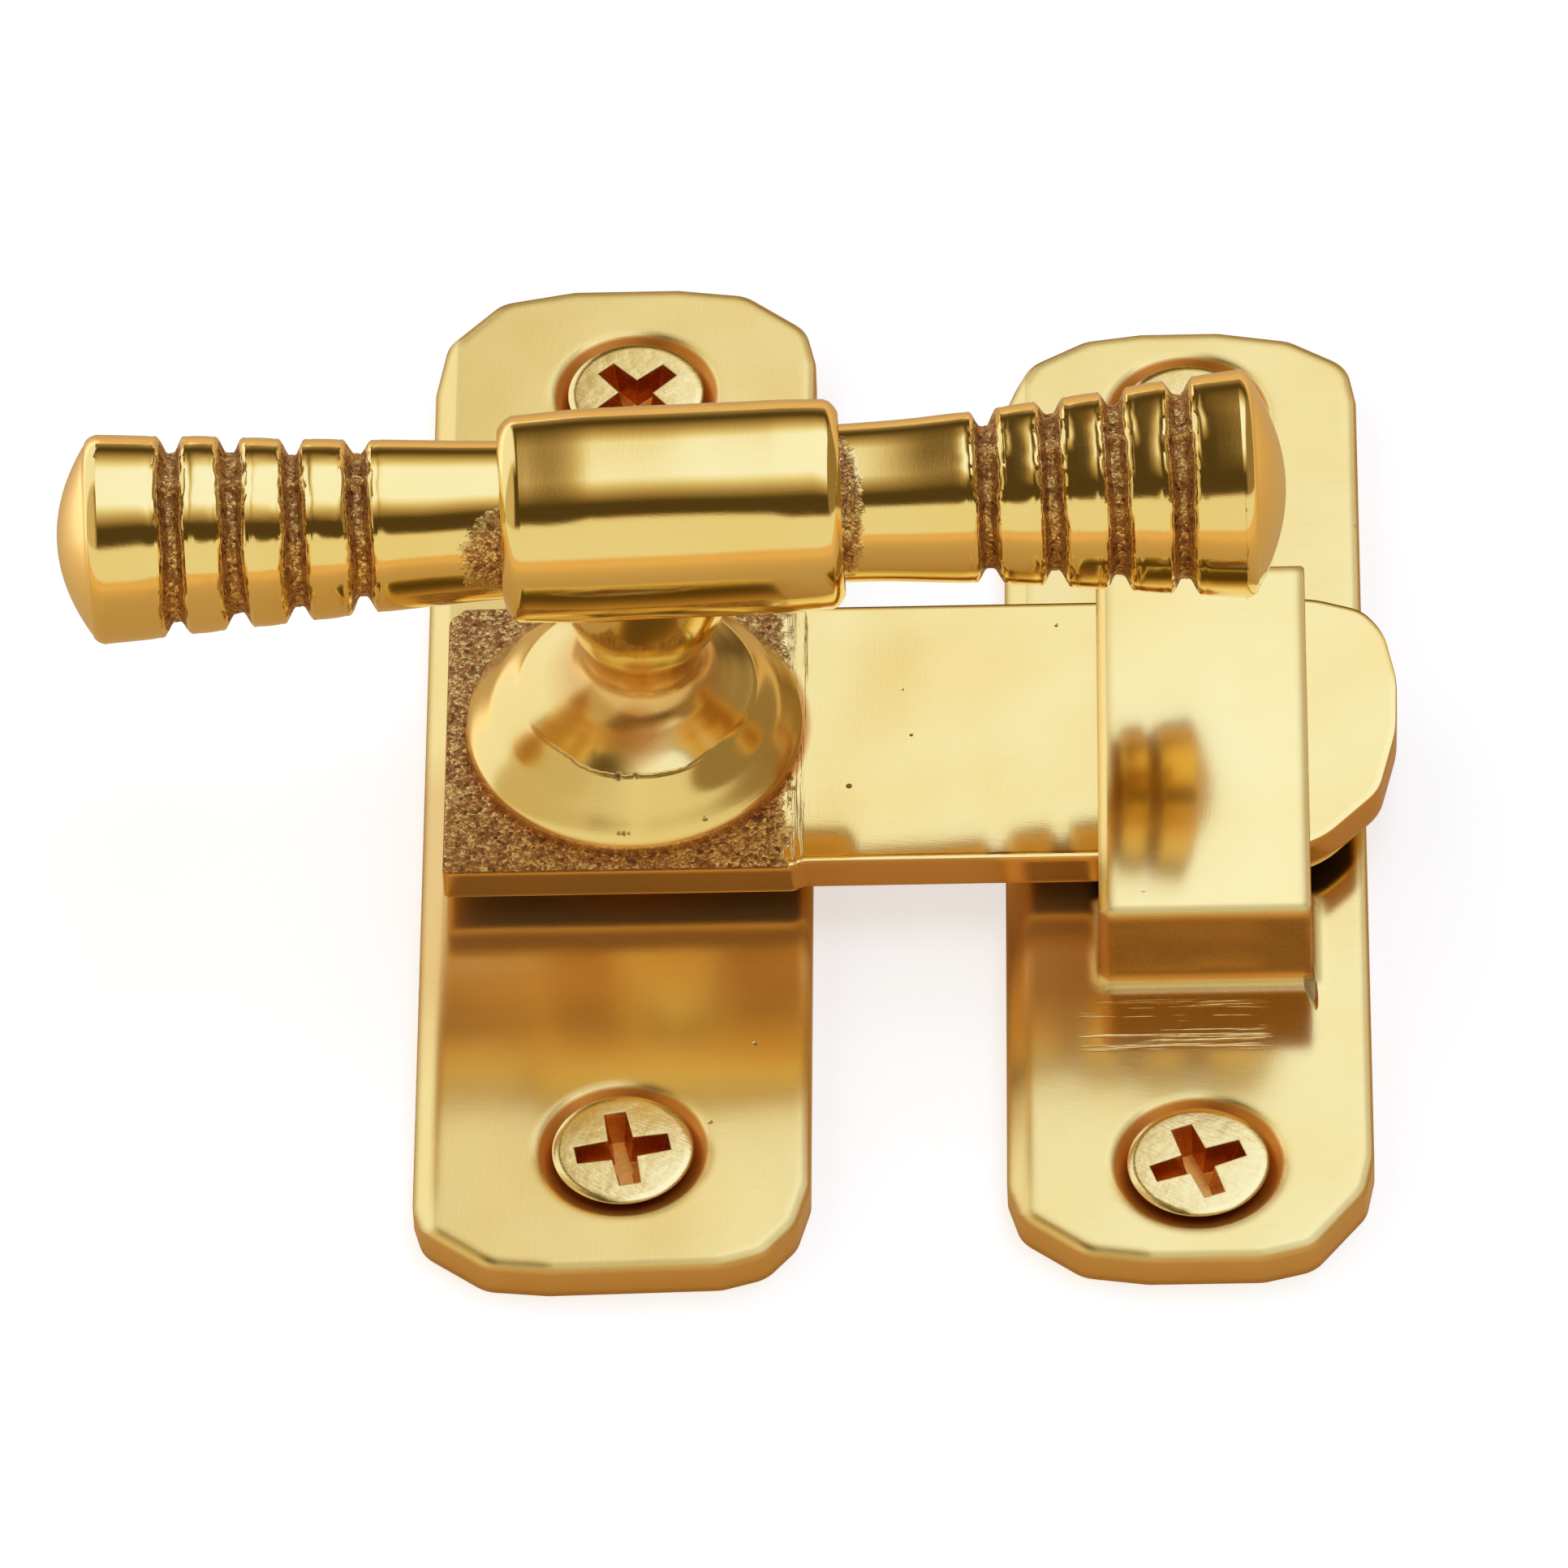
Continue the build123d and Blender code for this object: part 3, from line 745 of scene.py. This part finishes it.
            rows.append([((spot.x, spot.y, height), 0.0) for spot in self.rounded(outline, inset)])
        self.sheet(rows)
        for row, height in ((rows[0], BAR_UNDER), (rows[-1], BAR_TOP)):
            first = len(self.points)
            for point, cast in row:
                self.points.append(point)
                self.cast.append(cast)
            loop = tuple(range(first, len(self.points)))
            self.faces.append(loop if height == BAR_TOP else loop[::-1])

    def rounded(self, outline, inset):
        """The outline moved inwards, with rounded corners."""
        corners = [Vector(corner) for corner in outline]
        spots = []
        for before, here, after in zip([corners[-1], *corners], corners, [*corners[1:], corners[0]]):
            back, ahead = (here - before).normalized(), (after - here).normalized()
            inward = Vector((-back.y - ahead.y, back.x + ahead.x)) / (1 + back.dot(ahead))
            rounding = 0.9 if here.x > BAR_TIP - TIP_LENGTH - 1 else 0.3
            reach = min(rounding, (here - before).length * 0.4, (after - here).length * 0.4)
            reach = max(reach - inset * inward.length * 0.4, 0.02)
            corner = here + inward * inset
            start, stop = corner - back * reach, corner + ahead * reach
            for step in range(5):
                t = step / 4
                spots.append(start * (1 - t) ** 2 + 2 * corner * t * (1 - t) + stop * t ** 2)
        return spots

    def piece(self):
        """The casting as an object in metres."""
        mesh = bpy.data.meshes.new(self.name)
        mesh.from_pydata([tuple(c * MM for c in point) for point in self.points], [], self.faces)
        marks = mesh.attributes.new("as_cast", "FLOAT", "POINT")
        marks.data.foreach_set("value", self.cast)
        build = bmesh.new()
        build.from_mesh(mesh)
        bmesh.ops.remove_doubles(build, verts=build.verts, dist=0.002 * MM)
        bmesh.ops.recalc_face_normals(build, faces=build.faces)
        build.to_mesh(mesh)
        build.free()
        mesh.polygons.foreach_set("use_smooth", [True] * len(mesh.polygons))
        mesh.set_sharp_from_angle(angle=SMOOTHED_BELOW)
        casting = bpy.data.objects.new(self.name, mesh)
        bpy.context.scene.collection.objects.link(casting)
        return casting


class ScrewsOperator(bpy.types.Operator):
    """Make the four wood screws, with cross recesses and cut threads"""

    bl_idname = "shutterbar.screws"
    bl_label = "Make Screws"

    def execute(self, context):
        sizes = context.scene.shutter_screws
        colours = context.scene.shutter_brass
        for name, turn in zip(SCREWS, sizes.turns):
            low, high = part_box(name)
            centre = (low + high) / 2
            screw = self.head(name, turn, high.z / MM)
            self.add_thread(screw.data, low.z / MM, high.z / MM, sizes)
            for vertex in screw.data.vertices:
                vertex.co += Vector((centre.x, centre.y, 0.0))
            screw.data.materials.append(self.satin(name, centre / MM, high.z / MM, colours))
            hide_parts(name)
            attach(screw, "plates")
        return {"FINISHED"}

    def head(self, name, turn, top):
        """The countersunk head with its cross recess, and the plain neck."""
        cone_bottom = top - HEAD_EDGE - (HEAD_RADIUS - SHANK_RADIUS)
        form = CastForm(name + "_body")
        profile = [
            (0.01, top), (HEAD_RADIUS - 0.5, top), (HEAD_RADIUS - 0.12, top - 0.02),
            (HEAD_RADIUS, top - 0.12), (HEAD_RADIUS, top - HEAD_EDGE),
            (SHANK_RADIUS, cone_bottom), (SHANK_RADIUS, -0.2), (0.01, -0.2),
        ]
        form.turned(profile, 96, lambda spot, angle: (spot[1], spot[0], 0.0), self.upright)
        screw = form.piece()
        cutter = self.recess(top, turn)
        cut = screw.modifiers.new("recess", "BOOLEAN")
        cut.operation = "DIFFERENCE"
        cut.solver = "EXACT"
        cut.object = cutter
        bpy.context.view_layer.update()
        shaped = screw.evaluated_get(bpy.context.evaluated_depsgraph_get())
        mesh = bpy.data.meshes.new_from_object(shaped)
        screw.modifiers.clear()
        screw.data = mesh
        bpy.data.objects.remove(cutter)
        return screw

    def recess(self, top, turn):
        """The cross that is pressed into a head: its wings narrow downwards."""
        form = CastForm("recess_cutter")
        rows = []
        for depth, inset in ((-0.3, -0.05), (0.0, 0.0), (RECESS_DEPTH * 0.5, 0.14), (RECESS_DEPTH, 0.42)):
            reach, wing = RECESS_SPAN / 2 - inset * 1.8, RECESS_WING / 2 - inset * 0.6
            row = []
            for quarter in range(4):
                angle = radians(turn) + quarter * pi / 2
                for along, across in ((wing * 1.15, -wing * 1.15), (reach, -wing), (reach, wing)):
                    spot = Matrix.Rotation(angle, 2) @ Vector((along, across))
                    row.append(((spot.x, spot.y, top - depth), 0.0))
            rows.append(row)
        form.sheet(rows)
        width = len(rows[0])
        form.faces.append(tuple(range(width)))
        form.faces.append(tuple(range(len(form.points) - width, len(form.points))))
        return form.piece()

    def add_thread(self, mesh, tip, top, sizes):
        """Adds the threaded part of the shank, which thins to a point."""
        pitch, core = sizes.pitch / MM, sizes.core / MM
        start = -0.1
        count = round((start - tip) / pitch * 12)
        form = CastForm("thread")

        def shape(height, angle):
            left = min((height - tip) / POINT_LENGTH, 1.0)
            place = (height / pitch + angle / tau) % 1
            ridge = max(0.0, 1 - abs(place - 0.5) / 0.3) * eased(start - height, 0.0, 1.0)
            inner = core + (SHANK_RADIUS - core) * (1 - eased(start - height, 0.0, 1.2))
            return height, left * (inner + (THREAD_RADIUS - inner) * ridge) + 0.02, 0.0

        stations = [start + (tip - start) * step / count for step in range(count + 1)]
        form.turned([start, *stations], 40, shape, self.upright)
        thread = form.piece()
        build = bmesh.new()
        build.from_mesh(mesh)
        build.from_mesh(thread.data)
        build.to_mesh(mesh)
        build.free()
        mesh.polygons.foreach_set("use_smooth", [abs(face.normal.z) < 0.999 for face in mesh.polygons])
        mesh.set_sharp_from_angle(angle=SMOOTHED_BELOW)
        bpy.data.objects.remove(thread)

    def upright(self, height, radius, angle):
        """A point around the Z axis."""
        return (radius * cos(angle), radius * sin(angle), height)

    def satin(self, name, centre, top, colours):
        """Turned brass with a satin head, and tarnish with painted shade down in the recess."""
        brass = Brass(name + "_finish")
        cloud = brass.grain(brass.place, 0.9, detail=3.0)
        fine = brass.scratches(31.0, length=1.0, fineness=7.0)
        # Deep is the cross recess: tarnish there, with painted shade in orange brown
        deep = brass.z.rises(top - 0.05, top - 0.4) * brass.around(centre.x, centre.y).rises(HEAD_RADIUS, 3.6)
        colour = brass.mix(cloud * 0.3, colours.screw_colour, colours.warm_colour)
        colour = brass.mix(deep * 0.8, colour, colours.stain_and_painted_shade_colour)
        roughness = 0.12 + cloud * 0.08 + fine.rises(0.5, 0.8) * 0.1 + deep * 0.1
        relief = cloud * 0.7 + fine * 0.25
        return brass.finish(colour, roughness, relief, depth=0.03, normal=brass.soft_edges(0.12))


class PivotOperator(bpy.types.Operator):
    """Finish the rivet and both washers"""

    bl_idname = "shutterbar.pivot"
    bl_label = "Finish Pivot"

    def execute(self, context):
        colours = context.scene.shutter_brass
        for name, colour in (
            ("pivot_rivet", colours.warm_colour),
            ("pivot_washer", colours.warm_colour),
            ("spring_washer", colours.spring_colour),
        ):
            brass = Brass(name + "_finish")
            cloud = brass.grain(brass.place, 0.8, detail=4.0)
            out = brass.around(0.0, PIVOT_Y)
            rings = out.math("SINE", out * 14.0)
            shade = brass.mix(cloud * 0.35, colour, colours.cast_colour)
            show(name, brass.finish(shade, 0.22 + cloud * 0.15, rings * 0.2 + cloud, depth=0.02))
        return {"FINISHED"}


class StudioOperator(bpy.types.Operator):
    """Lay the paper floor, light the object and place the camera"""

    bl_idname = "shutterbar.studio"
    bl_label = "Set Up Studio"

    def execute(self, context):
        studio = context.scene.shutter_studio
        self.lay_floor(studio)
        self.light_world(context.scene)
        self.place_camera(context.scene, studio)
        context.scene.view_settings.view_transform = "Standard"
        return {"FINISHED"}

    def lay_floor(self, studio):
        mesh = bpy.data.meshes.new("paper_floor")
        half = FLOOR_HALF
        corners = [(-half, -half, 0.0), (half, -half, 0.0), (half, half, 0.0), (-half, half, 0.0)]
        mesh.from_pydata(corners, [], [(0, 1, 2, 3)])
        floor = bpy.data.objects.new("paper_floor", mesh)
        bpy.context.scene.collection.objects.link(floor)
        material = bpy.data.materials.new("paper")
        material.use_nodes = True
        nodes = Nodes(material.node_tree)
        seen = nodes.node("ShaderNodeLightPath", output="Is Camera Ray")
        # The paper is white to the camera, and painted warm for the brass to mirror
        colour = nodes.mix(seen, studio.floor_painted_reflection, studio.floor_colour)
        sockets = {"Base Color": colour, "Roughness": 0.9, "Specular IOR Level": 0.0}
        paper = nodes.node("ShaderNodeBsdfPrincipled", {}, sockets)
        mirrored = nodes.node("ShaderNodeLightPath", output="Is Glossy Ray")
        where = nodes.node("ShaderNodeTexCoord", output="Object")
        x = nodes.node("ShaderNodeSeparateXYZ", sockets={0: where}, output="X")
        y = nodes.node("ShaderNodeSeparateXYZ", sockets={0: where}, output="Y")
        # Painted reflection: to the brass only, the paper glows warm, dim near the object as a painted shadow
        # and brighter far off, and white at the back left
        far = ((x * x + y * y) ** 0.5).rises(0.05, 0.16)
        aside = x.rises(-0.04, -0.10) * y.rises(-0.02, 0.02)
        tint = nodes.mix(seen.most(aside), (1.0, 0.6, 0.2), (1.0, 1.0, 1.0))
        strength = seen * 0.62 + mirrored * (0.2 + far * 0.3 + aside * 0.5)
        glow = nodes.node("ShaderNodeEmission", {}, {"Color": tint, "Strength": strength})
        both = nodes.node("ShaderNodeAddShader", {}, {0: paper, 1: glow})
        nodes.node("ShaderNodeOutputMaterial", {}, {"Surface": both})
        mesh.materials.append(material)

    def light_world(self, scene):
        world = bpy.data.worlds.new("studio_light")
        world.use_nodes = True
        scene.world = world
        nodes = Nodes(world.node_tree)
        heading = nodes.node("ShaderNodeTexCoord", output="Generated")
        x = nodes.node("ShaderNodeSeparateXYZ", sockets={0: heading}, output="X")
        y = nodes.node("ShaderNodeSeparateXYZ", sockets={0: heading}, output="Y")
        z = nodes.node("ShaderNodeSeparateXYZ", sockets={0: heading}, output="Z")
        # Angle up from the horizon in front, over the top, to 180 degrees at the horizon behind
        rise = z.math("ARCTAN2", z, 0.0 - y) * (180 / pi)
        # A low white card in front, a wide soft lamp overhead, walls, and a window high up at the back left
        card = (rise + abs(x).least(0.12) * 60.0).rises(46.0, 41.0) * 0.82
        lamp = rise.rises(58.0, 86.0) * rise.rises(163.0, 131.0) * x.rises(-0.17, -0.02) * x.rises(0.62, 0.5)
        wall_behind = rise.rises(168.0, 190.0) * 0.65
        walls = x.rises(-0.38, -0.48) * 0.6 + x.rises(0.5, 0.62) * 0.25
        window = x.rises(-0.22, -0.3) * rise.rises(95.0, 120.0) * 0.95
        glow = 0.06 + (lamp * (1.12 + x * 0.6)).most(card).most(wall_behind).most(walls).most(window)
        shade = nodes.node("ShaderNodeValToRGB", {"stops": LIGHT_SHADES}, {"Fac": glow / LIGHT_SCALE})
        seen = nodes.node("ShaderNodeLightPath", output="Is Camera Ray")
        colour = nodes.mix(seen, shade, (1.0, 1.0, 1.0))
        strength = (1 - seen) * LIGHT_SCALE + seen
        background = nodes.node("ShaderNodeBackground", {}, {"Color": colour, "Strength": strength})
        nodes.node("ShaderNodeOutputWorld", {}, {"Surface": background})

    def place_camera(self, scene, studio):
        turn, rise, roll = studio.azimuth, studio.elevation, studio.roll
        ahead = Vector((-sin(turn) * cos(rise), cos(turn) * cos(rise), -sin(rise)))
        right = Vector((cos(turn), sin(turn), 0.0))
        up = right.cross(ahead)
        rolled_right = cos(roll) * right + sin(roll) * up
        rolled_up = cos(roll) * up - sin(roll) * right
        place = Matrix((rolled_right, rolled_up, -ahead)).transposed().to_4x4()
        place.translation = Vector(studio.aim) - ahead * studio.distance
        data = bpy.data.cameras.new("camera")
        data.sensor_width = 36.0
        data.lens = studio.lens
        data.clip_start = 0.05
        camera = bpy.data.objects.new("camera", data)
        scene.collection.objects.link(camera)
        camera.matrix_world = place
        scene.camera = camera


class ShutterBarPanel(bpy.types.Panel):
    """Lists the steps that dress the model"""

    bl_idname = "VIEW3D_PT_shutter_bar"
    bl_label = "Shutter Bar"
    bl_space_type = "VIEW_3D"
    bl_region_type = "UI"
    bl_category = "Shutter Bar"

    def draw(self, context):
        for operator in OPERATORS:
            self.layout.operator(operator.bl_idname)


OPERATORS = (CastingsOperator, ScrewsOperator, PivotOperator, StudioOperator)
CLASSES = (BrassColours, ScrewSizes, StudioSettings, *OPERATORS, ShutterBarPanel)


def register():
    for item in CLASSES:
        bpy.utils.register_class(item)
    bpy.types.Scene.shutter_brass = bpy.props.PointerProperty(type=BrassColours)
    bpy.types.Scene.shutter_screws = bpy.props.PointerProperty(type=ScrewSizes)
    bpy.types.Scene.shutter_studio = bpy.props.PointerProperty(type=StudioSettings)


def unregister():
    del bpy.types.Scene.shutter_studio
    del bpy.types.Scene.shutter_screws
    del bpy.types.Scene.shutter_brass
    for item in reversed(CLASSES):
        bpy.utils.unregister_class(item)


def main():
    register()
    bpy.ops.shutterbar.castings()
    bpy.ops.shutterbar.screws()
    bpy.ops.shutterbar.pivot()
    bpy.ops.shutterbar.studio()


if __name__ == "__main__":
    main()
